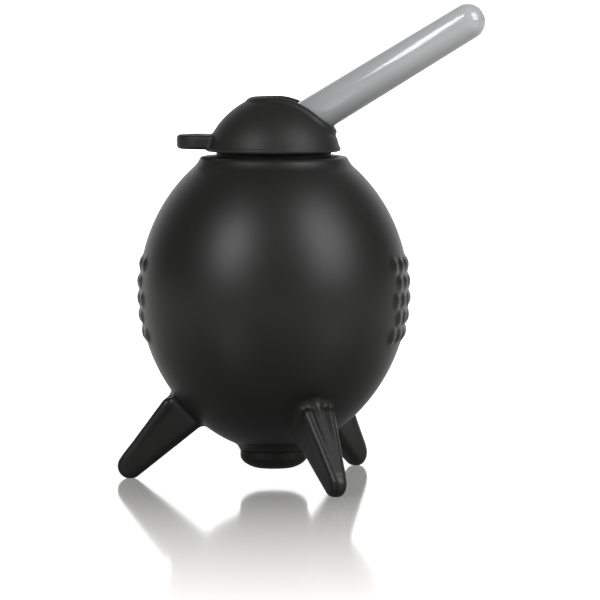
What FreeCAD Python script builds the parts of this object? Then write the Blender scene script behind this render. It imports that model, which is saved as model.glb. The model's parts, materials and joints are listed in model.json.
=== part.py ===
"""Dust blower bulb: a rubber squeeze bulb on three moulded legs, with an intake valve
underneath, a swivelling domed head on top and a nozzle that tilts in the head.

Frame: +Z up, origin on the bulb's axis at the plane that the three feet stand on.
The nozzle lies in the XZ plane and leaves the head towards +X. Millimetres.
"""
import FreeCAD
import Part
import math
import os

V = FreeCAD.Vector
ORIGIN = V(0, 0, 0)
UP = V(0, 0, 1)

# ---- driving dimensions -------------------------------------------------------------

# bulb: an egg of revolution with a flat top and a flat valve seat; its two halves are
# ellipses that slim by the given shares towards their poles
BULB_RADIUS = 32.0
BULB_CENTRE_Z = 45.3
BULB_UPPER_HEIGHT = 37.1
BULB_UPPER_SLIMMING = 0.045
BULB_LOWER_HEIGHT = 38.2
BULB_LOWER_SLIMMING = 0.07
WALL = 2.6
LEDGE_Z = 77.2
LEDGE_RADIUS = 17.3
LEDGE_EDGE = 1.1
MOUTH_WALL = 4.0
MOUTH_RADIUS = 11.0
SEAT_Z = 7.4
SEAT_RADIUS = 8.2
SEAT_WALL = 4.4
VALVE_HOLE_RADIUS = 5.5

# legs, drawn in the radial plane as (distance from the axis, height)
LEG_ANGLES = (60, 180, 300)
LEG_OUTER_ROOT = (21.7, 24.5)
LEG_INNER_ROOT = (13.5, 15.6)
LEG_OUTER_TIP = (36.95, 4.9)
LEG_INNER_TIP = (31.6, 2.0)
LEG_TOE = (36.05, 0.32)
LEG_ROOT_WIDTH = 8.2
LEG_TIP_WIDTH = 4.3
LEG_EDGE_RADIUS = 1.3
FLUTE_RADIUS = 1.5
FLUTE_DEPTH = 0.7
FLUTE_ROOT_OFFSET = 2.1
FLUTE_TIP_OFFSET = 1.0
FLUTE_START_SHARE = 0.3
FLUTE_LENGTH_SHARE = 0.62

# raised grip pips on the two sides of the bulb
GRIP_ROWS = 5
GRIP_COLUMNS = 6
GRIP_LOW_Z = 36.0
GRIP_PITCH = 3.9
GRIP_COLUMN_ANGLE = 8.0
GRIP_PIP_RADIUS = 3.0
GRIP_HEIGHT = 0.55

# intake valve
FLANGE_RADIUS = 8.0
FLANGE_BOTTOM_Z = 3.2
FLANGE_ROUND_Z = 6.0
FLANGE_FLAT_RADIUS = 4.8
BARB_DEPTH = 1.5
BARB_RADIUS = 6.7
VALVE_TOP_Z = 16.4
VALVE_BORE_RADIUS = 4.2
VALVE_SEAT_LOW_Z = 7.4
VALVE_SEAT_TOP_Z = 8.6
SEAT_PORT_RADIUS = 2.4
GRILLE_RECESS = 0.4
GRILLE_THICKNESS = 1.2
GRILLE_HOLES = 6
GRILLE_HOLE_RADIUS = 0.75
GRILLE_HOLE_CIRCLE = 2.6
FILTER_THICKNESS = 2.2
DISC_RADIUS = 3.6
DISC_THICKNESS = 0.8
DISC_LIFT = 0.8
RETAINER_THICKNESS = 1.6
RETAINER_BAR = 1.0

# neck collar and the head that swivels in it
COLLAR_FLANGE_RADIUS = 13.6
COLLAR_FLANGE_TOP_Z = 77.9
COLLAR_BARB_RADIUS = 12.6
COLLAR_BARB_DEPTH = 1.6
COLLAR_BORE_RADIUS = 9.0
COLLAR_BOTTOM_Z = 69.6
RUNNING_GAP = 0.05
FACE_GAP = 0.1
SPIGOT_BOTTOM_Z = 67.4
ORING_SECTION = 0.75
ORING_Z = 74.6
RING_Z = 68.6
RING_HEIGHT = 0.9
RING_RADIUS = 10.2
RING_GROOVE_DEPTH = 0.9
RING_GAP = 3.0

# domed cover with its tab; the dome slims towards its pole like the bulb
DOME_RADIUS = 15.65
DOME_HALF_HEIGHT = 14.1
DOME_SLIMMING = 0.19
DOME_CENTRE_Z = 78.0
DOME_BASE_Z = 78.5
DOME_WALL = 2.0
DOME_TOP_ANGLE = 75.0
DOME_RIM_RADIUS = 15.85
DOME_RIM_HEIGHT = 0.9
DOME_RIM_CHAMFER = 0.3
DECK_RADIUS = 13.6
DECK_SHOULDER_Z = 79.2
DECK_STEP = 0.3
DECK_TOP_Z = 79.8
SLOT_CLEARANCE = 0.3
SLOT_LIP_WIDTH = 1.3
SLOT_LIP_HEIGHT = 0.35
SLOT_LIP_LEAN = 0.6
TAB_LOW_Z = 78.9
TAB_THICKNESS = 3.4
TAB_HALF_WIDTH = 5.6
TAB_REACH = 23.1
TAB_HOLE_RADIUS = 1.75
TAB_HOLE_X = -18.6

# pivot ball and nozzle; distances along the nozzle start at the pivot
PIVOT_Z = 81.0
BALL_RADIUS = 6.5
BALL_CLEARANCE = 0.3
AXLE_RADIUS = 1.6
AXLE_REACH = 10.2
UPRIGHT_INNER_Y = 7.0
UPRIGHT_THICKNESS = 2.8
UPRIGHT_HALF_WIDTH = 2.9
PASSAGE_RADIUS = 1.8
WELL_RADIUS = 6.2
WELL_FLOOR_Z = 72.8
SEAT_RING_TOP_Z = 77.4
NOZZLE_REST_ANGLE = 31.5
NOZZLE_LOW_ANGLE = 31.5
NOZZLE_HIGH_ANGLE = 90.0
NOZZLE_ROOT_RADIUS = 4.65
NOZZLE_TIP_RADIUS = 4.27
NOZZLE_LENGTH = 58.0
NOZZLE_WALL = 1.4
SPIGOT_START = 2.6
TUBE_ROOT = 5.9
NOZZLE_SPIGOT_RADIUS = 3.2
INLET_FAN_RADIUS = 3.0
OUTLET_RADIUS = 1.1

# ---- derived dimensions -------------------------------------------------------------

CAVITY_TOP_Z = LEDGE_Z - MOUTH_WALL
CAVITY_BOTTOM_Z = SEAT_Z + SEAT_WALL
GRILLE_LOW_Z = FLANGE_BOTTOM_Z + GRILLE_RECESS
GRILLE_TOP_Z = GRILLE_LOW_Z + GRILLE_THICKNESS
PIVOT = V(0, 0, PIVOT_Z)
SPIGOT_RADIUS = COLLAR_BORE_RADIUS - RUNNING_GAP
DECK_LOW_Z = COLLAR_FLANGE_TOP_Z + FACE_GAP
SLOT_HALF_WIDTH = NOZZLE_ROOT_RADIUS + SLOT_CLEARANCE
MARGIN = 1.0
CURVE_SPANS = 24


# ---- helpers ------------------------------------------------------------------------

def revolved(wire):
    """Solid of revolution about Z."""
    swept = Part.Face(wire).revolve(ORIGIN, UP, 360)
    return Part.makeSolid(Part.Shell(swept.Faces))


def turned(points):
    """Solid of revolution about Z from (radius, height) corners."""
    corners = [V(radius, 0, height) for radius, height in points]
    return revolved(Part.makePolygon(corners + [corners[0]]))


def disc(radius, low_z, high_z):
    return Part.makeCylinder(radius, high_z - low_z, V(0, 0, low_z))


def ellipse_edge(radius, half_height, centre_z, low_z, high_z):
    """Edge of an ellipse about Z, in the XZ plane, between two heights."""
    low_angle = math.asin(max(-1, (low_z - centre_z) / half_height))
    high_angle = math.asin(min(1, (high_z - centre_z) / half_height))
    angles = (low_angle, (low_angle + high_angle) / 2, high_angle)
    arc = Part.Arc(*[V(radius * math.cos(a), 0, radius * math.sin(a)) for a in angles])
    stretch = FreeCAD.Matrix()
    stretch.scale(1, 1, half_height / radius)
    edge = arc.toShape().transformGeometry(stretch)
    edge.translate(V(0, 0, centre_z))
    return edge


def joined(points):
    """Straight edges through the points, leaving out any of no length."""
    pairs = zip(points, points[1:])
    return [Part.makeLine(a, b) for a, b in pairs if a.distanceToPoint(b) > 1e-4]


def solid_under(rim):
    """Solid of revolution between an edge in the XZ plane and the axis."""
    low, high = [vertex.Point for vertex in rim.Vertexes]
    return revolved(Part.Wire([rim] + joined([high, V(0, 0, high.z), V(0, 0, low.z), low])))


def smooth_edge(point_at, low_angle, high_angle):
    """Smooth edge through the points that point_at gives between two angles."""
    step = (high_angle - low_angle) / CURVE_SPANS
    curve = Part.BSplineCurve()
    curve.interpolate([point_at(low_angle + i * step) for i in range(CURVE_SPANS + 1)])
    return curve.toShape()


def slimmed_point(radius, half_height, centre_z, slimming, angle):
    """Point of an upright ellipse that slims towards its poles by a share of its radius."""
    rise = math.sin(angle)
    out = radius * math.cos(angle) * (1 - slimming * rise * rise)
    return V(out, 0, centre_z + half_height * rise)


def bulb_point(angle, inset):
    """Point of the bulb's outline, or of one set in from it."""
    half_height, slimming = BULB_LOWER_HEIGHT, BULB_LOWER_SLIMMING
    if angle > 0:
        half_height, slimming = BULB_UPPER_HEIGHT, BULB_UPPER_SLIMMING
    return slimmed_point(
        BULB_RADIUS - inset, half_height - inset, BULB_CENTRE_Z, slimming, angle
    )


def bulb_angle(height, inset):
    """Angle at which the bulb's outline reaches a height, or its pole where it never does."""
    half_height = BULB_UPPER_HEIGHT if height > BULB_CENTRE_Z else BULB_LOWER_HEIGHT
    return math.asin(max(-1, (height - BULB_CENTRE_Z) / (half_height - inset)))


def egg(inset, low_z, high_z):
    """The bulb's egg, set in by inset and cut flat at the two heights."""
    return solid_under(smooth_edge(
        lambda angle: bulb_point(angle, inset), bulb_angle(low_z, inset), bulb_angle(high_z, inset)
    ))


def dome_edge(grown, low_z):
    """The dome's outline from low_z to a hole at its top, moved out by grown."""
    half_height = DOME_HALF_HEIGHT + grown

    def point_at(angle):
        return slimmed_point(DOME_RADIUS + grown, half_height, DOME_CENTRE_Z, DOME_SLIMMING, angle)

    low_angle = math.asin((low_z - DOME_CENTRE_Z) / half_height)
    return smooth_edge(point_at, low_angle, math.radians(DOME_TOP_ANGLE))


def dome_shell(grown, wall, low_z):
    """Shell of the dome's shape, wall thick, its outside moved out by grown."""
    outer = dome_edge(grown, low_z)
    inner = dome_edge(grown - wall, low_z)
    outer_low, outer_high = [vertex.Point for vertex in outer.Vertexes]
    inner_low, inner_high = [vertex.Point for vertex in inner.Vertexes]
    edges = [outer] + joined([outer_high, inner_high]) + [inner] + joined([inner_low, outer_low])
    return revolved(Part.Wire(edges))


def about_axis(shape, angle):
    """A copy of the shape turned about the bulb's axis."""
    copy = shape.copy()
    copy.rotate(ORIGIN, UP, angle)
    return copy


def nozzle_direction(angle):
    """Unit vector along the nozzle at an elevation in degrees."""
    return V(math.cos(math.radians(angle)), 0, math.sin(math.radians(angle)))


def along_nozzle(shape):
    """Lay a shape that was made along +Z from the origin out from the pivot at rest."""
    copy = shape.copy()
    copy.rotate(ORIGIN, V(0, 1, 0), 90 - NOZZLE_REST_ANGLE)
    copy.translate(PIVOT)
    return copy


# ---- bulb ---------------------------------------------------------------------------

def leg():
    """One tapered leg pointing towards +X, with two flutes along its outer face."""
    def point(place):
        return V(place[0], 0, place[1])

    sides = [
        Part.makeLine(point(LEG_INNER_TIP), point(LEG_INNER_ROOT)),
        Part.makeLine(point(LEG_INNER_ROOT), point(LEG_OUTER_ROOT)),
        Part.makeLine(point(LEG_OUTER_ROOT), point(LEG_OUTER_TIP)),
        Part.Arc(point(LEG_OUTER_TIP), point(LEG_TOE), point(LEG_INNER_TIP)).toShape(),
    ]
    profile = Part.Face(Part.Wire(sides))
    blank = profile.extrude(V(0, LEG_ROOT_WIDTH, 0))
    blank.translate(V(0, -LEG_ROOT_WIDTH / 2, 0))
    taper = Part.Face(Part.makePolygon([
        V(LEG_INNER_ROOT[0] - MARGIN, -LEG_ROOT_WIDTH / 2, 0),
        V(LEG_OUTER_TIP[0] + MARGIN, -LEG_TIP_WIDTH / 2, 0),
        V(LEG_OUTER_TIP[0] + MARGIN, LEG_TIP_WIDTH / 2, 0),
        V(LEG_INNER_ROOT[0] - MARGIN, LEG_ROOT_WIDTH / 2, 0),
        V(LEG_INNER_ROOT[0] - MARGIN, -LEG_ROOT_WIDTH / 2, 0),
    ]))
    taper = taper.extrude(V(0, 0, LEG_OUTER_ROOT[1] + 2 * MARGIN))
    taper.translate(V(0, 0, -MARGIN))
    body = blank.common(taper)
    long_edges = [
        edge for edge in body.Edges
        if abs(edge.CenterOfMass.y) > LEG_TIP_WIDTH / 4
        and edge.CenterOfMass.x > (LEG_INNER_ROOT[0] + LEG_OUTER_ROOT[0]) / 2
    ]
    body = body.makeFillet(LEG_EDGE_RADIUS, long_edges)
    return body.cut(flute(1)).cut(flute(-1))


def flute(side):
    """A round channel that runs down the outer face of the leg towards the toe."""
    start = V(LEG_OUTER_ROOT[0], side * FLUTE_ROOT_OFFSET, LEG_OUTER_ROOT[1])
    end = V(LEG_OUTER_TIP[0], side * FLUTE_TIP_OFFSET, LEG_OUTER_TIP[1])
    face = end - start
    outward = V(-face.z, 0, face.x).normalize() * -1
    lift = outward * (FLUTE_RADIUS - FLUTE_DEPTH)
    foot = start + face * FLUTE_START_SHARE + lift
    return Part.makeCylinder(FLUTE_RADIUS, face.Length * FLUTE_LENGTH_SHARE, foot, face)


def grip_pips(angle):
    """Staggered rows of round pips that stand a little proud of the wall."""
    pips = []
    for row in range(GRIP_ROWS):
        height = GRIP_LOW_Z + row * GRIP_PITCH
        wall_radius = bulb_point(bulb_angle(height, 0), 0).x
        centre = V(wall_radius + GRIP_HEIGHT - GRIP_PIP_RADIUS, 0, height)
        pip = Part.makeSphere(GRIP_PIP_RADIUS, centre)
        columns = GRIP_COLUMNS - row % 2
        for column in range(columns):
            offset = (column - (columns - 1) / 2) * GRIP_COLUMN_ANGLE
            pips.append(about_axis(pip, angle + offset))
    return pips


def bulb():
    body = egg(0, SEAT_Z, LEDGE_Z)
    edge_ring = turned([
        (0, LEDGE_Z - 2 * LEDGE_EDGE),
        (LEDGE_RADIUS + LEDGE_EDGE, LEDGE_Z - 2 * LEDGE_EDGE),
        (LEDGE_RADIUS, LEDGE_Z),
        (0, LEDGE_Z),
    ])
    seat_boss = disc(SEAT_RADIUS, SEAT_Z, CAVITY_BOTTOM_Z)
    legs = [about_axis(leg(), angle) for angle in LEG_ANGLES]
    body = body.fuse([edge_ring, seat_boss] + legs + grip_pips(0) + grip_pips(180))
    cavity = egg(WALL, CAVITY_BOTTOM_Z, CAVITY_TOP_Z)
    mouth = disc(MOUTH_RADIUS, CAVITY_TOP_Z - MARGIN, LEDGE_Z + MARGIN)
    valve_hole = disc(VALVE_HOLE_RADIUS, SEAT_Z - MARGIN, CAVITY_BOTTOM_Z + MARGIN)
    floor = Part.makeBox(200, 200, 10, V(-100, -100, -10))
    return body.cut([cavity, mouth, valve_hole, floor])


# ---- intake valve -------------------------------------------------------------------

def valve_housing():
    """Plug with a bowl-shaped flange outside the bulb, a barb inside it and a ported seat."""
    barb_low = CAVITY_BOTTOM_Z
    body = turned([
        (0, FLANGE_ROUND_Z),
        (FLANGE_RADIUS, FLANGE_ROUND_Z),
        (FLANGE_RADIUS, SEAT_Z),
        (VALVE_HOLE_RADIUS, SEAT_Z),
        (VALVE_HOLE_RADIUS, barb_low),
        (BARB_RADIUS, barb_low),
        (VALVE_HOLE_RADIUS, barb_low + BARB_DEPTH),
        (VALVE_HOLE_RADIUS, VALVE_TOP_Z),
        (0, VALVE_TOP_Z),
    ])
    sine = math.sqrt(1 - (FLANGE_FLAT_RADIUS / FLANGE_RADIUS) ** 2)
    bowl_depth = (FLANGE_ROUND_Z - FLANGE_BOTTOM_Z) / sine
    bowl = solid_under(ellipse_edge(
        FLANGE_RADIUS, bowl_depth, FLANGE_ROUND_Z, FLANGE_BOTTOM_Z, FLANGE_ROUND_Z
    ))
    lower_bore = disc(VALVE_BORE_RADIUS, 0, VALVE_SEAT_LOW_Z)
    port = disc(SEAT_PORT_RADIUS, 0, VALVE_TOP_Z)
    upper_bore = disc(VALVE_BORE_RADIUS, VALVE_SEAT_TOP_Z, VALVE_TOP_Z + MARGIN)
    return body.fuse(bowl).cut([lower_bore, port, upper_bore])


def valve_grille():
    """Perforated plug in the underside of the housing."""
    plate = disc(VALVE_BORE_RADIUS, GRILLE_LOW_Z, GRILLE_TOP_Z)
    hole = Part.makeCylinder(GRILLE_HOLE_RADIUS, 2 * GRILLE_TOP_Z)
    ring_hole = Part.makeCylinder(GRILLE_HOLE_RADIUS, 2 * GRILLE_TOP_Z, V(GRILLE_HOLE_CIRCLE, 0, 0))
    holes = [about_axis(ring_hole, i * 360 / GRILLE_HOLES) for i in range(GRILLE_HOLES)]
    return plate.cut([hole] + holes)


def dust_filter():
    return disc(VALVE_BORE_RADIUS, GRILLE_TOP_Z, GRILLE_TOP_Z + FILTER_THICKNESS)


def valve_disc():
    return disc(DISC_RADIUS, VALVE_SEAT_TOP_Z, VALVE_SEAT_TOP_Z + DISC_THICKNESS)


def valve_retainer():
    """Ring with a cross that stops the disc after its lift."""
    low = VALVE_SEAT_TOP_Z + DISC_THICKNESS + DISC_LIFT
    ring = disc(VALVE_BORE_RADIUS, low, low + RETAINER_THICKNESS)
    inner_radius = VALVE_BORE_RADIUS - RETAINER_BAR
    ring = ring.cut(disc(inner_radius, low - MARGIN, low + RETAINER_THICKNESS + MARGIN))
    half_bar = RETAINER_BAR / 2
    bar = Part.makeBox(
        2 * (inner_radius + half_bar), RETAINER_BAR, RETAINER_THICKNESS,
        V(-inner_radius - half_bar, -half_bar, low),
    )
    return ring.fuse([bar, about_axis(bar, 90)])


# ---- neck and swivelling head -------------------------------------------------------

def neck_collar():
    """Hard bush in the bulb's mouth; its flange spaces the head off the bulb."""
    body = turned([
        (COLLAR_BORE_RADIUS, COLLAR_BOTTOM_Z),
        (MOUTH_RADIUS, COLLAR_BOTTOM_Z),
        (COLLAR_BARB_RADIUS, CAVITY_TOP_Z - COLLAR_BARB_DEPTH),
        (COLLAR_BARB_RADIUS, CAVITY_TOP_Z),
        (MOUTH_RADIUS, CAVITY_TOP_Z),
        (MOUTH_RADIUS, LEDGE_Z),
        (COLLAR_FLANGE_RADIUS, LEDGE_Z),
        (COLLAR_FLANGE_RADIUS, COLLAR_FLANGE_TOP_Z),
        (COLLAR_BORE_RADIUS, COLLAR_FLANGE_TOP_Z),
    ])
    return body


def swivel_oring():
    """Seal in a groove of the head's spigot, inside the collar's bore."""
    return Part.makeTorus(SPIGOT_RADIUS - ORING_SECTION, ORING_SECTION, V(0, 0, ORING_Z), UP)


def retaining_ring():
    """Split snap ring in the groove below the collar."""
    low = RING_Z
    ring = disc(RING_RADIUS, low, low + RING_HEIGHT)
    bore = disc(SPIGOT_RADIUS - RING_GROOVE_DEPTH, low - MARGIN, low + RING_HEIGHT + MARGIN)
    gap = Part.makeBox(RING_RADIUS + MARGIN, RING_GAP, RING_HEIGHT, V(0, -RING_GAP / 2, low))
    return ring.cut([bore, gap])


def head_base():
    """Deck under the dome, its spigot in the collar and two uprights for the ball's axles."""
    deck = disc(DECK_RADIUS, DECK_LOW_Z, DECK_SHOULDER_Z)
    deck_step = disc(DECK_RADIUS - DECK_STEP, DECK_SHOULDER_Z, DECK_TOP_Z)
    spigot = disc(SPIGOT_RADIUS, SPIGOT_BOTTOM_Z, DECK_LOW_Z)
    body = deck.fuse([deck_step, spigot])
    for side in (1, -1):
        near_y = side * UPRIGHT_INNER_Y
        far_y = side * (UPRIGHT_INNER_Y + UPRIGHT_THICKNESS)
        upright = Part.makeBox(
            2 * UPRIGHT_HALF_WIDTH, UPRIGHT_THICKNESS, PIVOT_Z - DECK_LOW_Z,
            V(-UPRIGHT_HALF_WIDTH, min(near_y, far_y), DECK_LOW_Z),
        )
        crown = Part.makeCylinder(
            UPRIGHT_HALF_WIDTH, UPRIGHT_THICKNESS, V(0, min(near_y, far_y), PIVOT_Z), V(0, 1, 0)
        )
        body = body.fuse([upright, crown])
    axle_bore = Part.makeCylinder(
        AXLE_RADIUS + RUNNING_GAP, 4 * DECK_RADIUS, V(0, -2 * DECK_RADIUS, PIVOT_Z), V(0, 1, 0)
    )
    ball_room = Part.makeSphere(BALL_RADIUS + BALL_CLEARANCE, PIVOT)
    well = disc(WELL_RADIUS, WELL_FLOOR_Z, DECK_TOP_Z + MARGIN)
    passage = disc(2 * PASSAGE_RADIUS, SPIGOT_BOTTOM_Z - MARGIN, WELL_FLOOR_Z)
    oring_groove = disc(SPIGOT_RADIUS + MARGIN, ORING_Z - ORING_SECTION, ORING_Z + ORING_SECTION)
    oring_groove = oring_groove.cut(disc(SPIGOT_RADIUS - 2 * ORING_SECTION, 0, 2 * ORING_Z))
    ring_groove = disc(SPIGOT_RADIUS + MARGIN, RING_Z, RING_Z + RING_HEIGHT)
    ring_groove = ring_groove.cut(disc(SPIGOT_RADIUS - RING_GROOVE_DEPTH, 0, 2 * RING_Z))
    rooms = [axle_bore, ball_room, well, passage, oring_groove, ring_groove, nozzle_envelope(0)]
    return body.cut(rooms)


def ball_seat():
    """Soft ring in the well that the ball bears on and seals against."""
    ring = disc(WELL_RADIUS, WELL_FLOOR_Z, SEAT_RING_TOP_Z)
    bore = disc(2 * PASSAGE_RADIUS, WELL_FLOOR_Z - MARGIN, SEAT_RING_TOP_Z + MARGIN)
    return ring.cut([bore, Part.makeSphere(BALL_RADIUS + RUNNING_GAP, PIVOT)])


def nozzle_envelope(extra):
    """Space that the nozzle sweeps between its limits, with extra room all round."""
    reach = 2 * DOME_RADIUS
    half_width = SLOT_HALF_WIDTH + extra
    low = nozzle_direction(NOZZLE_LOW_ANGLE)
    high = nozzle_direction(NOZZLE_HIGH_ANGLE)
    corner = (low + high) * (reach / (low + high).Length) * 1.5
    sector = Part.Face(Part.makePolygon([
        PIVOT, PIVOT + low * reach, PIVOT + corner, PIVOT + high * reach, PIVOT,
    ]))
    sector = sector.extrude(V(0, 2 * half_width, 0))
    sector.translate(V(0, -half_width, 0))
    ends = [Part.makeCylinder(half_width, reach, PIVOT, way) for way in (low, high)]
    return sector.fuse(ends)


def head_dome():
    """Domed cover with the nozzle's slot, a raised lip round the slot and a flat tab."""
    skin = dome_shell(0, DOME_WALL, DOME_BASE_Z)
    raised = dome_shell(SLOT_LIP_HEIGHT, SLOT_LIP_HEIGHT + DOME_WALL / 2, DECK_TOP_Z)
    raised.translate(V(SLOT_LIP_LEAN, 0, 0))
    lip = raised.common(nozzle_envelope(SLOT_LIP_WIDTH))
    rim_top = DOME_BASE_Z + DOME_RIM_HEIGHT
    rim = turned([
        (DOME_RADIUS - DOME_WALL / 2, DOME_BASE_Z),
        (DOME_RIM_RADIUS, DOME_BASE_Z),
        (DOME_RIM_RADIUS, rim_top - DOME_RIM_CHAMFER),
        (DOME_RIM_RADIUS - DOME_RIM_CHAMFER, rim_top),
        (DOME_RADIUS - DOME_WALL / 2, rim_top),
    ])
    tab = Part.makeBox(
        TAB_REACH - TAB_HALF_WIDTH - DOME_RADIUS + DOME_WALL, 2 * TAB_HALF_WIDTH, TAB_THICKNESS,
        V(-TAB_REACH + TAB_HALF_WIDTH, -TAB_HALF_WIDTH, TAB_LOW_Z),
    )
    tab_end = Part.makeCylinder(
        TAB_HALF_WIDTH, TAB_THICKNESS, V(-TAB_REACH + TAB_HALF_WIDTH, 0, TAB_LOW_Z)
    )
    hole = Part.makeCylinder(
        TAB_HOLE_RADIUS, TAB_THICKNESS + 2 * MARGIN, V(TAB_HOLE_X, 0, TAB_LOW_Z - MARGIN)
    )
    inside = disc(DECK_RADIUS, DOME_BASE_Z, TAB_LOW_Z + TAB_THICKNESS)
    tab = tab.fuse(tab_end).cut([hole, inside])
    deck_room = disc(DECK_RADIUS, DOME_BASE_Z - MARGIN, DECK_SHOULDER_Z)
    return skin.fuse([lip, rim, tab]).cut([nozzle_envelope(0), deck_room])


# ---- nozzle -------------------------------------------------------------------------

def nozzle_ball():
    """Hollow ball with two stub axles, a socket for the tube and a fan-shaped air inlet."""
    ball = Part.makeSphere(BALL_RADIUS, PIVOT)
    axles = Part.makeCylinder(
        AXLE_RADIUS, 2 * AXLE_REACH, V(0, -AXLE_REACH, PIVOT_Z), V(0, 1, 0)
    )
    socket = along_nozzle(Part.makeCylinder(NOZZLE_SPIGOT_RADIUS, 10, V(0, 0, SPIGOT_START)))
    shoulder = along_nozzle(Part.makeCylinder(
        NOZZLE_ROOT_RADIUS + MARGIN, BALL_RADIUS, V(0, 0, TUBE_ROOT)
    ))
    inlet = Part.makeSphere(NOZZLE_SPIGOT_RADIUS, PIVOT)
    mouth = Part.makeCylinder(INLET_FAN_RADIUS, BALL_RADIUS + MARGIN, PIVOT, V(0, 0, -1))
    return ball.fuse(axles).cut([socket, inlet, mouth, shoulder])


def nozzle():
    """Tapered tube with a rounded tip, a stepped root in the ball and a round outlet."""
    tip_centre = NOZZLE_LENGTH - NOZZLE_TIP_RADIUS
    stem = Part.makeCylinder(
        NOZZLE_SPIGOT_RADIUS, TUBE_ROOT - SPIGOT_START, V(0, 0, SPIGOT_START)
    )
    tube = Part.makeCone(
        NOZZLE_ROOT_RADIUS, NOZZLE_TIP_RADIUS, tip_centre - TUBE_ROOT, V(0, 0, TUBE_ROOT)
    )
    tip = Part.makeSphere(NOZZLE_TIP_RADIUS, V(0, 0, tip_centre))
    body = tube.fuse([stem, tip])
    bore_top = NOZZLE_TIP_RADIUS - NOZZLE_WALL
    bore_root = TUBE_ROOT + MARGIN
    bore = Part.makeCone(
        NOZZLE_ROOT_RADIUS - NOZZLE_WALL, bore_top, tip_centre - bore_root, V(0, 0, bore_root)
    )
    bore_end = Part.makeSphere(bore_top, V(0, 0, tip_centre))
    inlet = Part.makeCylinder(PASSAGE_RADIUS, TUBE_ROOT, V(0, 0, SPIGOT_START - MARGIN))
    outlet = Part.makeCylinder(OUTLET_RADIUS, NOZZLE_LENGTH, V(0, 0, tip_centre))
    return along_nozzle(body.cut([bore, bore_end, inlet, outlet]))


# ---- write the sub-parts ------------------------------------------------------------

SUB_PARTS = {
    "bulb": bulb,
    "valve_housing": valve_housing,
    "valve_grille": valve_grille,
    "dust_filter": dust_filter,
    "valve_disc": valve_disc,
    "valve_retainer": valve_retainer,
    "neck_collar": neck_collar,
    "swivel_oring": swivel_oring,
    "retaining_ring": retaining_ring,
    "head_base": head_base,
    "ball_seat": ball_seat,
    "head_dome": head_dome,
    "nozzle_ball": nozzle_ball,
    "nozzle": nozzle,
}

os.makedirs("parts", exist_ok=True)
for name, make in SUB_PARTS.items():
    shape = make().removeSplitter()
    print(f"{name}: solids {len(shape.Solids)}, volume {shape.Volume:.1f}, valid {shape.isValid()}")
    if len(shape.Solids) == 1:
        shape = shape.Solids[0]
    shape.exportStep(f"parts/{name}.step")
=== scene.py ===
"""Looks of the dust blower bulb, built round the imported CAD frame."""
import json
import math

import bmesh
import bpy
import numpy as np
from mathutils import Matrix, Vector


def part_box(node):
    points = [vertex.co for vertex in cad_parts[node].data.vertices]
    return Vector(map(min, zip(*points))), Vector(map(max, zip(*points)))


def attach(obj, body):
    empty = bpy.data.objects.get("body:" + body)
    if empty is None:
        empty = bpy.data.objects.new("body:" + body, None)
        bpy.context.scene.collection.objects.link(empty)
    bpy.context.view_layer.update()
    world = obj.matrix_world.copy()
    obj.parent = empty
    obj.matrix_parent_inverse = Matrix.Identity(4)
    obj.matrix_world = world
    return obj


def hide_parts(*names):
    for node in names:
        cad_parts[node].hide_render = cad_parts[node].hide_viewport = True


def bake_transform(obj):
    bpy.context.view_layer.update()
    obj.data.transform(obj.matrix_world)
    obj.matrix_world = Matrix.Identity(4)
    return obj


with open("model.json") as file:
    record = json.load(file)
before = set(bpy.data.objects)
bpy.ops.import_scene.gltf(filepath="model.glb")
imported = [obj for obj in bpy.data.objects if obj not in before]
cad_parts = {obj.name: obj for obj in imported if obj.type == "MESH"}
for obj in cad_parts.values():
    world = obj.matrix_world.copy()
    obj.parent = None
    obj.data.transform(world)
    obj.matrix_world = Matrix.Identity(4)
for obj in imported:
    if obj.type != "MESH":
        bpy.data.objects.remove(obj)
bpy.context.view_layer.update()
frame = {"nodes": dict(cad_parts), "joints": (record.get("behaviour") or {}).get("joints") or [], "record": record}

MM = 0.001

# ---- sizes, in metres, read from the frame where it has them -------------------------------

bulb_low, bulb_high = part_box("bulb")
dome_low, dome_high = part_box("head_dome")
plug_low, plug_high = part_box("valve_housing")
joints = {joint["name"]: joint for joint in frame["joints"]}
PIVOT = np.array(joints["nozzle_tilt"]["pos_m"])

# how far edges are rounded and joins are filled
EDGE = 0.3 * MM
BASE_EDGE = 0.4 * MM
SOFT_EDGE = 0.5 * MM
PIP_FILLET = 0.4 * MM
HEAD_FILLET = 0.9 * MM
ROOT_FILLET = 1.6 * MM

# bulb: an egg of two half ellipsoids that slim by the given shares towards their poles
BULB_RADIUS = 32.0 * MM
BULB_CENTRE_Z = 45.3 * MM
UPPER_HEIGHT = 37.1 * MM
UPPER_SLIMMING = 0.045
LOWER_HEIGHT = 38.2 * MM
LOWER_SLIMMING = 0.07
WALL = 2.6 * MM
LEDGE_Z = bulb_high.z
LEDGE_RADIUS = 17.3 * MM
LEDGE_EDGE_DEPTH = 2.2 * MM
LEDGE_EDGE_SLOPE = 0.5
MOUTH_RADIUS = 11.0 * MM
CAVITY_TOP_Z = LEDGE_Z - 4.0 * MM
SEAT_Z = 7.4 * MM
SEAT_RADIUS = 8.2 * MM
CAVITY_BOTTOM_Z = SEAT_Z + 4.4 * MM
VALVE_HOLE_RADIUS = 5.5 * MM

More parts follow.
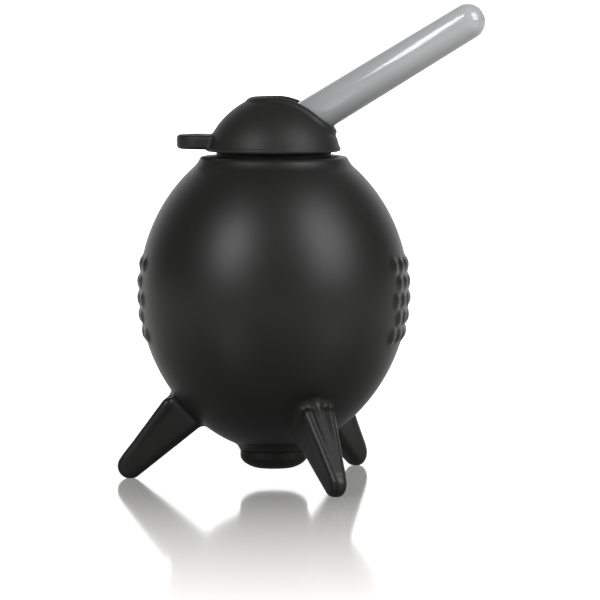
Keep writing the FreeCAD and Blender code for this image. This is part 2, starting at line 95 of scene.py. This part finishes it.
# legs, in the radial plane as (distance from the axis, height); their width stops tapering at
# LEG_TAPER_END, as a share of the line from root to tip
LEG_ANGLES = (60, 180, 300)
LEG_ROOT = np.array([20.3, 17.4]) * MM
LEG_TIP = np.array([34.5, 3.0]) * MM
LEG_ROOT_HALF_DEPTH = 5.45 * MM
LEG_TIP_HALF_DEPTH = 3.1 * MM
LEG_ROOT_HALF_WIDTH = 3.85 * MM
LEG_TIP_HALF_WIDTH = 2.1 * MM
LEG_EDGE = 1.5 * MM
LEG_TAPER_END = 1.15
RIB_ROOT_HEIGHT = 0.8 * MM
RIB_TIP_HEIGHT = 0.1 * MM
RIB_START = 0.4 * MM
RIB_END = 1.0 * MM
RIB_TIP_RADIUS = 1.0 * MM
CENTRE_RIB_RADIUS = 1.5 * MM
SIDE_RIB_RADIUS = 1.45 * MM
SIDE_RIB_ROOT_OFFSET = 2.55 * MM
SIDE_RIB_TIP_OFFSET = 1.0 * MM
SIDE_RIB_DROP = 2.4 * MM

# raised pips on the bulb's two sides
PIP_ROWS = 5
PIP_COLUMNS = 6
PIP_LOW_Z = 36.0 * MM
PIP_PITCH = 3.9 * MM
PIP_COLUMN_ANGLE = math.radians(8.0)
PIP_RADIUS = 3.0 * MM
PIP_HEIGHT = 0.55 * MM

# dome and its tab
DOME_RADIUS = 15.65 * MM
DOME_HALF_HEIGHT = 14.1 * MM
DOME_CENTRE_Z = 78.0 * MM
DOME_SLIMMING = 0.19
DOME_BASE_Z = dome_low.z
DOME_WALL = 2.0 * MM
DOME_RIM_RADIUS = dome_high.x
DOME_RIM_HEIGHT = 0.9 * MM
SLOT_LIP_HEIGHT = 0.35 * MM
SLOT_LIP_HALF_WIDTH = 0.65 * MM
SLOT_LIP_LEAN = np.array([0.4, 0, 0]) * MM
SLOT_LIP_LOW_Z = 79.8 * MM
SLOT_HALF_WIDTH = 4.95 * MM
SLOT_LOW_ANGLE = math.radians(31.5)
SLOT_HIGH_ANGLE = math.radians(90)
TAB_MIDDLE_Z = 80.6 * MM
TAB_HALF_THICKNESS = 1.7 * MM
TAB_HALF_WIDTH = 5.6 * MM
TAB_REACH = -dome_low.x
TAB_HOLE_X = -18.6 * MM
TAB_HOLE_RADIUS = 1.75 * MM
TAB_EDGE = 0.8 * MM

# nozzle, along its own axis from the pivot
NOZZLE_ANGLE = SLOT_LOW_ANGLE
NOZZLE_ROOT_RADIUS = 4.65 * MM
NOZZLE_TIP_RADIUS = 4.27 * MM
NOZZLE_LENGTH = 58.0 * MM
NOZZLE_START = 5.9 * MM
NOZZLE_WALL = 1.4 * MM
OUTLET_RADIUS = 1.1 * MM
OUTLET_BEVEL = 0.25 * MM
OUTLET_DEPTH = 0.5 * MM

# valve housing
FLANGE_ROUND_Z = 6.0 * MM
FLANGE_FLAT_RADIUS = 4.8 * MM
BARB_RADIUS = 6.7 * MM
BARB_DEPTH = 1.5 * MM
VALVE_BORE_RADIUS = 4.2 * MM
VALVE_PORT_RADIUS = 2.4 * MM
VALVE_SEAT_LOW_Z = 7.4 * MM
VALVE_SEAT_TOP_Z = 8.6 * MM
VALVE_EDGE = 0.25 * MM

# meshing: cell sizes, rounds that move points onto a surface, the step, in cells, that measures
# its slope, and the divisions of turned and curved outlines
BULB_CELL = 0.65 * MM
DOME_CELL = 0.3 * MM
SETTLE_ROUNDS = 4
SLOPE_STEP = 0.05
TURNED_SEGMENTS = 96
TIP_POINTS = 20
BORE_TIP_POINTS = 8
BOWL_STEPS = 12
CORNER_STEPS = 4


# ---- solids described by a signed distance, and their meshes -------------------------------

def smooth_union(a, b, size):
    """Solids a and b joined, the corner between them filled over about size."""
    share = np.clip(0.5 + 0.5 * (b - a) / size, 0, 1)
    return b + (a - b) * share - size * share * (1 - share)


def smooth_cut(a, b, size):
    """Solid a with solid b taken out of it, the edge rounded over about size."""
    return -smooth_union(-a, b, size)


def smooth_common(a, b, size):
    """What solids a and b share, the edge rounded over about size."""
    return -smooth_union(-a, -b, size)


def slimmed_ellipsoid(p, radius, half_height, centre_z, slimming):
    """Ellipsoid about the axis that slims towards its poles by a share of its radius."""
    rise = (p[..., 2] - centre_z) / half_height
    radius_here = radius * (1 - slimming * np.minimum(rise ** 2, 1))
    out = np.hypot(p[..., 0], p[..., 1])
    k0 = np.hypot(out / radius_here, rise)
    k1 = np.hypot(out / radius_here ** 2, rise / half_height)
    return k0 * (k0 - 1) / np.maximum(k1, 1e-9)


def egg(p, inset):
    """The bulb's egg, set in by inset."""
    upper = p[..., 2] > BULB_CENTRE_Z
    half_height = np.where(upper, UPPER_HEIGHT, LOWER_HEIGHT) - inset
    slimming = np.where(upper, UPPER_SLIMMING, LOWER_SLIMMING)
    return slimmed_ellipsoid(p, BULB_RADIUS - inset, half_height, BULB_CENTRE_Z, slimming)


def dome(p, grown):
    """The dome's outline, moved out by grown."""
    return slimmed_ellipsoid(
        p, DOME_RADIUS + grown, DOME_HALF_HEIGHT + grown, DOME_CENTRE_Z, DOME_SLIMMING
    )


def rounded_common(a, b, edge):
    """What two solids at right angles share, with an edge of that radius."""
    outside = np.hypot(np.maximum(a + edge, 0), np.maximum(b + edge, 0))
    return outside + np.minimum(np.maximum(a, b) + edge, 0) - edge


def cylinder(p, radius, low_z, high_z, edge):
    """Upright cylinder about the axis with rounded edges."""
    side = np.hypot(p[..., 0], p[..., 1]) - radius
    end = np.abs(p[..., 2] - (low_z + high_z) / 2) - (high_z - low_z) / 2
    return rounded_common(side, end, edge)


def round_cone(p, a, b, radius_a, radius_b):
    """A rod from a to b whose radius changes evenly, in 2 or 3 dimensions."""
    line = b - a
    along = np.clip(((p - a) @ line) / (line @ line), 0, 1)
    return np.linalg.norm(p - a - along[..., None] * line, axis=-1) - (
        radius_a + (radius_b - radius_a) * along
    )


def along_axis(axis, first, last, rest):
    """Index that takes first..last along one axis of a grid and rest along the other two."""
    index = [rest] * 3
    index[axis] = slice(first, last)
    return tuple(index)


def cell_points(grid, value, counts, cell):
    """For each cell, the sum of the points where its edges cross the surface, and their number."""
    total = np.zeros(counts + [3])
    crossings = np.zeros(counts)
    for axis in range(3):
        a = value[along_axis(axis, 0, -1, slice(None))]
        b = value[along_axis(axis, 1, None, slice(None))]
        crossed = (a < 0) != (b < 0)
        share = np.where(crossed, a / np.where(crossed, a - b, 1), 0)
        point = grid[along_axis(axis, 0, -1, slice(None))].copy()
        point[..., axis] += share * cell
        point[~crossed] = 0
        u, v = [k for k in range(3) if k != axis]
        for i in (0, 1):
            for j in (0, 1):
                part = [slice(None)] * 3
                part[u] = slice(i, i + counts[u])
                part[v] = slice(j, j + counts[v])
                total += point[tuple(part)]
                crossings += crossed[tuple(part)]
    return total, crossings


def cell_faces(inside, index):
    """A quad round each grid edge that crosses the surface, through the points of its four cells."""
    faces = []
    for axis in range(3):
        u, v = (axis + 1) % 3, (axis + 2) % 3
        start_in = inside[along_axis(axis, 0, -1, slice(1, -1))]
        crossed = start_in != inside[along_axis(axis, 1, None, slice(1, -1))]
        place = np.argwhere(crossed)
        corners = []
        for du, dv in ((1, 1), (0, 1), (0, 0), (1, 0)):
            at = place.copy()
            at[:, u] += du
            at[:, v] += dv
            corners.append(index[at[:, 0], at[:, 1], at[:, 2]])
        quads = np.stack(corners, 1)
        backward = ~start_in[crossed]
        quads[backward] = quads[backward][:, ::-1]
        faces.append(quads)
    return np.concatenate(faces)


def quad_mesh(name, points, faces):
    """Mesh of the points and the four-sided faces."""
    mesh = bpy.data.meshes.new(name)
    mesh.vertices.add(len(points))
    mesh.vertices.foreach_set("co", points.ravel())
    mesh.loops.add(faces.size)
    mesh.loops.foreach_set("vertex_index", faces.ravel())
    mesh.polygons.add(len(faces))
    mesh.polygons.foreach_set("loop_start", np.arange(len(faces)) * 4)
    mesh.polygons.foreach_set("loop_total", np.full(len(faces), 4))
    mesh.update(calc_edges=True)
    mesh.validate()
    return mesh


def surface_mesh(name, field, low, high, cell):
    """Mesh of the surface where field is zero, with one point per cell, each moved onto it."""
    counts = [int(math.ceil((h - l) / cell)) + 2 for l, h in zip(low, high)]
    axes = [l - cell + np.arange(n + 1) * cell for l, n in zip(low, counts)]
    grid = np.stack(np.meshgrid(*axes, indexing="ij"), -1)
    value = np.concatenate([field(layer[None])[0][None] for layer in grid])
    total, crossings = cell_points(grid, value, counts, cell)
    used = crossings > 0
    index = -np.ones(counts, int)
    index[used] = np.arange(used.sum())
    points = total[used] / crossings[used][:, None]
    return quad_mesh(name, settle(field, points, cell), cell_faces(value < 0, index))


def slope(field, points, step):
    """Gradient of the field at the points."""
    parts = []
    for axis in range(3):
        shift = np.zeros(3)
        shift[axis] = step
        parts.append((field(points + shift) - field(points - shift)) / (2 * step))
    return np.stack(parts, -1)


def settle(field, points, cell):
    """Points moved onto the surface, no further than half a cell each time."""
    for _ in range(SETTLE_ROUNDS):
        gradient = slope(field, points, cell * SLOPE_STEP)
        move = gradient * (field(points) / np.maximum((gradient ** 2).sum(-1), 1e-6))[:, None]
        reach = np.linalg.norm(move, axis=-1, keepdims=True)
        points = points - move * np.minimum(1, 0.5 * cell / np.maximum(reach, 1e-9))
    return points


def add_piece(name, mesh):
    """Smooth-shaded object of that name that holds the mesh."""
    piece = bpy.data.objects.new(name, mesh)
    bpy.context.scene.collection.objects.link(piece)
    for polygon in mesh.polygons:
        polygon.use_smooth = True
    return piece


def lathe_mesh(name, profile, matrix=Matrix.Identity(4)):
    """Closed mesh turned from a closed outline of (radius, height) points, laid by a matrix."""
    made = bmesh.new()
    turns = [2 * math.pi * k / TURNED_SEGMENTS for k in range(TURNED_SEGMENTS)]
    rings = [
        [made.verts.new((radius * math.cos(turn), radius * math.sin(turn), height)) for turn in turns]
        for radius, height in profile
    ]
    for ring, following in zip(rings, rings[1:] + rings[:1]):
        for k in range(TURNED_SEGMENTS):
            n = (k + 1) % TURNED_SEGMENTS
            made.faces.new((ring[k], ring[n], following[n], following[k]))
    bmesh.ops.recalc_face_normals(made, faces=made.faces)
    bmesh.ops.transform(made, matrix=matrix, verts=made.verts)
    mesh = bpy.data.meshes.new(name)
    made.to_mesh(mesh)
    made.free()
    return mesh


# ---- bulb ----------------------------------------------------------------------------------

def leg_field(p, angle):
    """One leg: a tapered rounded bar with three ribs down its outer face."""
    turn = math.radians(angle)
    out = p[..., 0] * math.cos(turn) + p[..., 1] * math.sin(turn)
    across = -p[..., 0] * math.sin(turn) + p[..., 1] * math.cos(turn)
    plane = np.stack([out, p[..., 2]], -1)
    line = LEG_TIP - LEG_ROOT
    length = np.linalg.norm(line)
    way = line / length
    outward = np.array([-way[1], way[0]])
    along = np.clip(((plane - LEG_ROOT) @ way) / length, 0, LEG_TAPER_END)
    half_width = LEG_ROOT_HALF_WIDTH + (LEG_TIP_HALF_WIDTH - LEG_ROOT_HALF_WIDTH) * along
    depth = round_cone(
        plane,
        LEG_ROOT - outward * RIB_ROOT_HEIGHT / 2, LEG_TIP - outward * RIB_TIP_HEIGHT / 2,
        LEG_ROOT_HALF_DEPTH - RIB_ROOT_HEIGHT / 2, LEG_TIP_HALF_DEPTH - RIB_TIP_HEIGHT / 2,
    )
    bar = rounded_common(depth, np.abs(across) - half_width, LEG_EDGE)
    half = np.stack([out, np.abs(across), p[..., 2]], -1)
    toe = LEG_TIP - way * RIB_END + outward * (LEG_TIP_HALF_DEPTH - RIB_TIP_RADIUS)
    centre_rib = (0.0, 0.0, 0.0, CENTRE_RIB_RADIUS)
    side_ribs = (SIDE_RIB_ROOT_OFFSET, SIDE_RIB_TIP_OFFSET, SIDE_RIB_DROP, SIDE_RIB_RADIUS)
    for root_offset, tip_offset, drop, radius in (centre_rib, side_ribs):
        top = LEG_ROOT + way * (RIB_START + drop) + outward * (LEG_ROOT_HALF_DEPTH - radius)
        start = np.array([top[0], root_offset, top[1]])
        end = np.array([toe[0], tip_offset, toe[1]])
        bar = smooth_union(bar, round_cone(half, start, end, radius, RIB_TIP_RADIUS), SOFT_EDGE)
    return bar


def pip_field(p):
    """Staggered rows of pips on the two sides, each from its nearest place in the pattern."""
    row = np.clip(np.round((p[..., 2] - PIP_LOW_Z) / PIP_PITCH), 0, PIP_ROWS - 1)
    height = PIP_LOW_Z + row * PIP_PITCH
    upper = height > BULB_CENTRE_Z
    rise = (height - BULB_CENTRE_Z) / np.where(upper, UPPER_HEIGHT, LOWER_HEIGHT)
    slimming = np.where(upper, UPPER_SLIMMING, LOWER_SLIMMING)
    wall_radius = BULB_RADIUS * np.sqrt(1 - rise ** 2) * (1 - slimming * rise ** 2)
    columns = PIP_COLUMNS - row % 2
    angle = np.arctan2(p[..., 1], np.abs(p[..., 0]))
    edge = (columns - 1) / 2
    column = np.clip(np.round(angle / PIP_COLUMN_ANGLE + edge), 0, columns - 1) - edge
    at = column * PIP_COLUMN_ANGLE
    radius = wall_radius + PIP_HEIGHT - PIP_RADIUS
    centre = np.stack([radius * np.cos(at), radius * np.sin(at), height], -1)
    near = np.stack([np.abs(p[..., 0]), p[..., 1], p[..., 2]], -1)
    return np.linalg.norm(near - centre, axis=-1) - PIP_RADIUS


def ledge_field(p):
    """Short cone that fills the bulb's shoulder out to the edge of its flat top."""
    side = np.hypot(p[..., 0], p[..., 1]) - LEDGE_RADIUS - LEDGE_EDGE_SLOPE * (LEDGE_Z - p[..., 2])
    side = side / math.hypot(1, LEDGE_EDGE_SLOPE)
    end = np.abs(p[..., 2] - LEDGE_Z + LEDGE_EDGE_DEPTH / 2) - LEDGE_EDGE_DEPTH / 2
    return smooth_common(side, end, SOFT_EDGE)


def bulb_field(p):
    """The hollow bulb with its shoulder, valve seat, legs, pips and two mouths."""
    body = smooth_common(egg(p, 0), p[..., 2] - LEDGE_Z, EDGE)
    body = smooth_union(body, ledge_field(p), SOFT_EDGE)
    body = smooth_union(body, cylinder(p, SEAT_RADIUS, SEAT_Z, CAVITY_BOTTOM_Z, EDGE), ROOT_FILLET)
    for angle in LEG_ANGLES:
        body = smooth_union(body, leg_field(p, angle), ROOT_FILLET)
    body = smooth_union(body, pip_field(p), PIP_FILLET)
    body = np.maximum(body, -p[..., 2])
    cavity = egg(p, WALL)
    cavity = np.maximum(cavity, p[..., 2] - CAVITY_TOP_Z)
    cavity = np.maximum(cavity, CAVITY_BOTTOM_Z - p[..., 2])
    body = np.maximum(body, -cavity)
    mouth = np.hypot(p[..., 0], p[..., 1]) - np.where(
        p[..., 2] > BULB_CENTRE_Z, MOUTH_RADIUS, VALVE_HOLE_RADIUS
    )
    return smooth_cut(body, mouth, EDGE)


def make_bulb():
    """The bulb with its legs and pips, in matt black rubber."""
    low = [bulb_low.x, bulb_low.y, 0]
    high = [-bulb_low.x, -bulb_low.y, LEDGE_Z]
    piece = add_piece("bulb_skin", surface_mesh("bulb_skin", bulb_field, low, high, BULB_CELL))
    piece.data.materials.append(grained("bulb_rubber_look", 0.40, 0.004, 0.006))
    return piece


# ---- head ----------------------------------------------------------------------------------

def slot_field(p):
    """Room that the nozzle sweeps between its limits."""
    x, z = p[..., 0] - PIVOT[0], p[..., 2] - PIVOT[2]
    angle = np.clip(np.arctan2(z, x), SLOT_LOW_ANGLE, SLOT_HIGH_ANGLE)
    beside = -x * np.sin(angle) + z * np.cos(angle)
    return np.hypot(beside, p[..., 1]) - SLOT_HALF_WIDTH


def tab_field(p):
    """Flat tongue with a round end, rounded edges and a hole for a cord."""
    past_end = np.minimum(p[..., 0] + TAB_REACH - TAB_HALF_WIDTH, 0)
    plan = np.hypot(past_end, p[..., 1]) - TAB_HALF_WIDTH
    plan = np.maximum(plan, p[..., 0] + DOME_RADIUS - DOME_WALL)
    tab = rounded_common(plan, np.abs(p[..., 2] - TAB_MIDDLE_Z) - TAB_HALF_THICKNESS, TAB_EDGE)
    hole = np.hypot(p[..., 0] - TAB_HOLE_X, p[..., 1]) - TAB_HOLE_RADIUS
    return smooth_cut(tab, hole, SOFT_EDGE)


def lip_field(p):
    """Raised lip round the slot, which leans a little towards the nozzle."""
    band = np.abs(slot_field(p) - SLOT_LIP_HALF_WIDTH) - SLOT_LIP_HALF_WIDTH
    lip = smooth_common(band, dome(p - SLOT_LIP_LEAN, SLOT_LIP_HEIGHT), SOFT_EDGE)
    return np.maximum(lip, SLOT_LIP_LOW_Z - p[..., 2])


def dome_field(p):
    """The dome's shell with its rim, slot, lip and tab."""
    skin = smooth_common(dome(p, 0), DOME_BASE_Z - p[..., 2], BASE_EDGE)
    rim = cylinder(p, DOME_RIM_RADIUS, DOME_BASE_Z, DOME_BASE_Z + DOME_RIM_HEIGHT, EDGE)
    skin = smooth_union(skin, rim, BASE_EDGE)
    skin = smooth_union(skin, lip_field(p), HEAD_FILLET)
    skin = smooth_union(skin, tab_field(p), HEAD_FILLET)
    skin = np.maximum(skin, -dome(p, -DOME_WALL))
    return smooth_cut(skin, slot_field(p), EDGE)


def make_dome():
    """The dome with its rim, slot and tab, in satin black plastic."""
    low = [dome_low.x, -dome_high.y, dome_low.z]
    high = [dome_high.y, dome_high.y, dome_high.z + 0.5 * MM]
    piece = add_piece("dome_cover", surface_mesh("dome_cover", dome_field, low, high, DOME_CELL))
    piece.data.materials.append(grained("head_plastic_look", 0.50, 0.004, 0.006))
    return piece


# ---- nozzle --------------------------------------------------------------------------------

def arc_points(height, radius, start, end, count):
    """Points (radius, height) on an arc about a point of the axis, between two angles."""
    angles = [start + (end - start) * k / (count - 1) for k in range(count)]
    return [(radius * math.cos(a), height + radius * math.sin(a)) for a in angles]


def make_nozzle():
    """Tapered hollow tube with a rounded tip and a bevelled outlet."""
    tip = NOZZLE_LENGTH - NOZZLE_TIP_RADIUS
    outer_hole = math.acos((OUTLET_RADIUS + OUTLET_BEVEL) / NOZZLE_TIP_RADIUS)
    bore_tip = NOZZLE_TIP_RADIUS - NOZZLE_WALL
    inner_hole = math.acos(OUTLET_RADIUS / bore_tip)
    profile = [
        (NOZZLE_ROOT_RADIUS - NOZZLE_WALL, NOZZLE_START),
        (NOZZLE_ROOT_RADIUS - EDGE, NOZZLE_START),
        (NOZZLE_ROOT_RADIUS, NOZZLE_START + EDGE),
    ]
    profile += arc_points(tip, NOZZLE_TIP_RADIUS, 0, outer_hole, TIP_POINTS)
    profile += [(OUTLET_RADIUS, NOZZLE_LENGTH - OUTLET_DEPTH)]
    profile += arc_points(tip, bore_tip, inner_hole, 0, BORE_TIP_POINTS)
    lay = Matrix.Translation(Vector(PIVOT)) @ Matrix.Rotation(math.pi / 2 - NOZZLE_ANGLE, 4, "Y")
    piece = add_piece("nozzle_tube", lathe_mesh("nozzle_tube", profile, lay))
    piece.data.materials.append(smoked_plastic("nozzle_plastic_look"))
    return piece


# ---- intake valve --------------------------------------------------------------------------

def rounded_outline(corners, radius):
    """Closed outline with each corner cut back by radius and turned through a short curve."""
    points = []
    neighbours = zip(corners[-1:] + corners[:-1], corners, corners[1:] + corners[:1])
    for before, corner, after in neighbours:
        corner = np.array(corner)
        ends = []
        for other in (before, after):
            side = np.array(other) - corner
            length = np.linalg.norm(side)
            ends.append(corner + side * min(radius / length, 0.45))
        for step in range(CORNER_STEPS + 1):
            t = step / CORNER_STEPS
            points.append((1 - t) ** 2 * ends[0] + 2 * t * (1 - t) * corner + t ** 2 * ends[1])
    return points


def make_valve_housing():
    """Plug with a bowl-shaped flange under the bulb, a barb inside it and a ported seat."""
    flange_radius = plug_high.x
    sine = math.sqrt(1 - (FLANGE_FLAT_RADIUS / flange_radius) ** 2)
    bowl_depth = (FLANGE_ROUND_Z - plug_low.z) / sine
    bowl = []
    for step in range(1, BOWL_STEPS):
        angle = math.asin(sine) * (1 - step / BOWL_STEPS)
        bowl.append((flange_radius * math.cos(angle), FLANGE_ROUND_Z - bowl_depth * math.sin(angle)))
    corners = [(VALVE_BORE_RADIUS, plug_low.z), (FLANGE_FLAT_RADIUS, plug_low.z)] + bowl
    corners += [
        (flange_radius, FLANGE_ROUND_Z),
        (flange_radius, SEAT_Z),
        (VALVE_HOLE_RADIUS, SEAT_Z),
        (VALVE_HOLE_RADIUS, CAVITY_BOTTOM_Z),
        (BARB_RADIUS, CAVITY_BOTTOM_Z),
        (VALVE_HOLE_RADIUS, CAVITY_BOTTOM_Z + BARB_DEPTH),
        (VALVE_HOLE_RADIUS, plug_high.z),
        (VALVE_BORE_RADIUS, plug_high.z),
        (VALVE_BORE_RADIUS, VALVE_SEAT_TOP_Z),
        (VALVE_PORT_RADIUS, VALVE_SEAT_TOP_Z),
        (VALVE_PORT_RADIUS, VALVE_SEAT_LOW_Z),
        (VALVE_BORE_RADIUS, VALVE_SEAT_LOW_Z),
    ]
    outline = rounded_outline(corners, VALVE_EDGE)
    return add_piece("valve_plug", lathe_mesh("valve_plug", outline))


# ---- materials -----------------------------------------------------------------------------

GREY_WARMTH = 0.93
ROUGHNESS_DRIFT = 0.07


def new_material(name):
    """A new material, its nodes, its links and its Principled shader."""
    material = bpy.data.materials.new(name)
    material.use_nodes = True
    nodes = material.node_tree.nodes
    return material, nodes, material.node_tree.links, nodes["Principled BSDF"]


def add_noise(nodes, links, coordinates, scale, detail):
    """Output of a noise texture read at the coordinates."""
    noise = nodes.new("ShaderNodeTexNoise")
    noise.inputs["Scale"].default_value = scale
    noise.inputs["Detail"].default_value = detail
    links.new(coordinates, noise.inputs["Vector"])
    return noise.outputs["Fac"]


def drifting_colour(nodes, links, share, dark, light):
    """Colour output that runs from dark to light as share runs from 0 to 1."""
    mix = nodes.new("ShaderNodeMix")
    mix.data_type = "RGBA"
    mix.inputs["A"].default_value = dark
    mix.inputs["B"].default_value = light
    links.new(share, mix.inputs["Factor"])
    return mix.outputs["Result"]


def ramp(nodes, links, value, low, high):
    """Output that runs from low to high as value runs from 0 to 1."""
    node = nodes.new("ShaderNodeMapRange")
    node.inputs["To Min"].default_value = low
    node.inputs["To Max"].default_value = high
    links.new(value, node.inputs["Value"])
    return node.outputs["Result"]


def grained(name, roughness, dark, light, gloss=0.26, metal=0.0, grain_scale=2600, relief=0.04 * MM):
    """Moulding with a faint grain; its colour drifts between two warm greys."""
    material, nodes, links, shader = new_material(name)
    place = nodes.new("ShaderNodeTexCoord").outputs["Object"]
    cloud = add_noise(nodes, links, place, 60, 3)
    grain = add_noise(nodes, links, place, grain_scale, 2)
    greys = [(grey, grey, grey * GREY_WARMTH, 1) for grey in (dark, light)]
    links.new(drifting_colour(nodes, links, cloud, *greys), shader.inputs["Base Color"])
    rough = ramp(nodes, links, cloud, roughness, roughness + ROUGHNESS_DRIFT)
    links.new(rough, shader.inputs["Roughness"])
    bump = nodes.new("ShaderNodeBump")
    bump.inputs["Strength"].default_value = 0.25
    bump.inputs["Distance"].default_value = relief
    links.new(grain, bump.inputs["Height"])
    links.new(bump.outputs["Normal"], shader.inputs["Normal"])
    shader.inputs["Specular IOR Level"].default_value = gloss
    shader.inputs["Metallic"].default_value = metal
    return material


def smoked_plastic(name):
    """Glossy grey plastic that lets some light through."""
    material, nodes, links, shader = new_material(name)
    place = nodes.new("ShaderNodeTexCoord").outputs["Object"]
    cloud = add_noise(nodes, links, place, 120, 2)
    dark = (0.33, 0.335, 0.34, 1)
    light = (0.36, 0.365, 0.37, 1)
    links.new(drifting_colour(nodes, links, cloud, dark, light), shader.inputs["Base Color"])
    shader.inputs["Roughness"].default_value = 0.16
    shader.inputs["Transmission Weight"].default_value = 0.25
    return material


# ---- pieces on their bodies ----------------------------------------------------------------

bulb_piece = make_bulb()
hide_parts("bulb")
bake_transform(bulb_piece)

dome_piece = make_dome()
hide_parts("head_dome")
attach(dome_piece, "head")

valve_piece = make_valve_housing()
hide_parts("valve_housing")
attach(valve_piece, "base")
valve_look = grained("valve_plastic_look", 0.55, 0.005, 0.008, gloss=0.15)
valve_piece.data.materials.append(valve_look)

nozzle_piece = make_nozzle()
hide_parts("nozzle")
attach(nozzle_piece, "nozzle")

INNER_LOOKS = {
    "valve_plastic": valve_look,
    "inner_plastic": grained("inner_plastic_look", 0.55, 0.005, 0.009, gloss=0.15),
    "seal_rubber": grained("seal_rubber_look", 0.60, 0.012, 0.018, gloss=0.2),
    "ring_steel": grained("ring_steel_look", 0.30, 0.50, 0.60, gloss=0.5, metal=1.0),
    "filter_felt": grained(
        "filter_felt_look", 0.85, 0.62, 0.78, gloss=0.1, grain_scale=5200, relief=0.2 * MM
    ),
}
for part in frame["record"]["subparts"]:
    if part["material_slot"] in INNER_LOOKS:
        for place in frame["nodes"][part["node"]].material_slots:
            place.material = INNER_LOOKS[part["material_slot"]]


# ---- stage ---------------------------------------------------------------------------------

VIEW_AZIMUTH = math.radians(5.6)
CAMERA_DISTANCE = 1.015
CAMERA_HEIGHT = 0.130
AIM_ASIDE = 6.2 * MM
AIM_HEIGHT = 43.0 * MM
LENS = 257.4
# floor glow: painted shade near the object, dimmest out to the first radius and full white from the second
FLOOR_FULL_SHADE_RADIUS = 0.030
FLOOR_WHITE_RADIUS = 0.19
FLOOR_SIZE = 6.0
FLOOR_NEAR_SHADED_GLOW = 0.24
FLOOR_FAR_GLOW = 1.0
WORLD_FRONT_GLOW = 0.14
WORLD_BACK_GLOW = 1.6


def make_floor():
    """Glossy floor whose glow is painted shade near the object: dim grey there so the object's reflection reads
    dark, rising to plain white further off.
    """
    mesh = bpy.data.meshes.new("floor")
    size = FLOOR_SIZE
    corners = [(-size, -size, 0), (size, -size, 0), (size, size, 0), (-size, size, 0)]
    mesh.from_pydata(corners, [], [(0, 1, 2, 3)])
    floor = bpy.data.objects.new("floor", mesh)
    bpy.context.scene.collection.objects.link(floor)
    material, nodes, links, shader = new_material("floor_look")
    place = nodes.new("ShaderNodeTexCoord").outputs["Object"]
    distance = nodes.new("ShaderNodeVectorMath")
    distance.operation = "LENGTH"
    links.new(place, distance.inputs[0])
    # painted shade: the floor's glow rises from dim near the object to full white further off
    white = ramp(nodes, links, distance.outputs["Value"], FLOOR_NEAR_SHADED_GLOW, FLOOR_FAR_GLOW)
    white.node.inputs["From Min"].default_value = FLOOR_FULL_SHADE_RADIUS
    white.node.inputs["From Max"].default_value = FLOOR_WHITE_RADIUS
    links.new(white, shader.inputs["Emission Strength"])
    shader.inputs["Emission Color"].default_value = (1, 0.99, 0.98, 1)
    shader.inputs["Base Color"].default_value = (0.02, 0.02, 0.02, 1)
    shader.inputs["Roughness"].default_value = 0.09
    shader.inputs["IOR"].default_value = 1.5
    mesh.materials.append(material)


def add_softbox(name, azimuth, elevation, distance, width, height, power):
    """Rectangular lamp that faces the object; azimuth 0 is in front, positive to the right."""
    turn, rise = math.radians(azimuth) + VIEW_AZIMUTH, math.radians(elevation)
    way = Vector((math.sin(turn) * math.cos(rise), -math.cos(turn) * math.cos(rise), math.sin(rise)))
    lamp = bpy.data.lights.new(name, "AREA")
    lamp.shape = "RECTANGLE"
    lamp.size = width
    lamp.size_y = height
    lamp.energy = power
    holder = bpy.data.objects.new(name, lamp)
    bpy.context.scene.collection.objects.link(holder)
    holder.location = way * distance + Vector((0, 0, 0.05))
    holder.rotation_euler = (-way).to_track_quat("-Z", "Y").to_euler()


def make_light():
    """World that is white behind the object and dim in front of it, and two softboxes."""
    world = bpy.data.worlds.new("studio")
    world.use_nodes = True
    nodes, links = world.node_tree.nodes, world.node_tree.links
    direction = nodes.new("ShaderNodeTexCoord").outputs["Generated"]
    behind = nodes.new("ShaderNodeVectorMath")
    behind.operation = "DOT_PRODUCT"
    behind.inputs[1].default_value = (-math.sin(VIEW_AZIMUTH), math.cos(VIEW_AZIMUTH), 0)
    links.new(direction, behind.inputs[0])
    fade = nodes.new("ShaderNodeMapRange")
    fade.interpolation_type = "SMOOTHSTEP"
    fade.inputs["From Min"].default_value = 0.55
    fade.inputs["From Max"].default_value = 0.97
    fade.inputs["To Min"].default_value = WORLD_FRONT_GLOW
    fade.inputs["To Max"].default_value = WORLD_BACK_GLOW
    links.new(behind.outputs["Value"], fade.inputs["Value"])
    links.new(fade.outputs["Result"], nodes["Background"].inputs["Strength"])
    nodes["Background"].inputs["Color"].default_value = (1, 1, 1, 1)
    bpy.context.scene.world = world
    add_softbox("softbox_left", -40, 31, 1.3, 0.45, 0.75, 15)
    add_softbox("softbox_right", 53, 33, 1.3, 0.7, 1.0, 21)


def make_camera():
    """Long-lens camera in front of the object and a little above it."""
    right = Vector((math.cos(VIEW_AZIMUTH), math.sin(VIEW_AZIMUTH), 0))
    back = Vector((math.sin(VIEW_AZIMUTH), -math.cos(VIEW_AZIMUTH), 0))
    camera = bpy.data.cameras.new("camera")
    camera.lens = LENS
    camera.sensor_width = 36
    camera.clip_start = 0.01
    holder = bpy.data.objects.new("camera", camera)
    bpy.context.scene.collection.objects.link(holder)
    holder.location = back * CAMERA_DISTANCE + Vector((0, 0, CAMERA_HEIGHT))
    aim = right * AIM_ASIDE + Vector((0, 0, AIM_HEIGHT))
    holder.rotation_euler = (aim - holder.location).to_track_quat("-Z", "Y").to_euler()
    bpy.context.scene.camera = holder


make_floor()
make_light()
make_camera()
bpy.context.scene.view_settings.view_transform = "Standard"
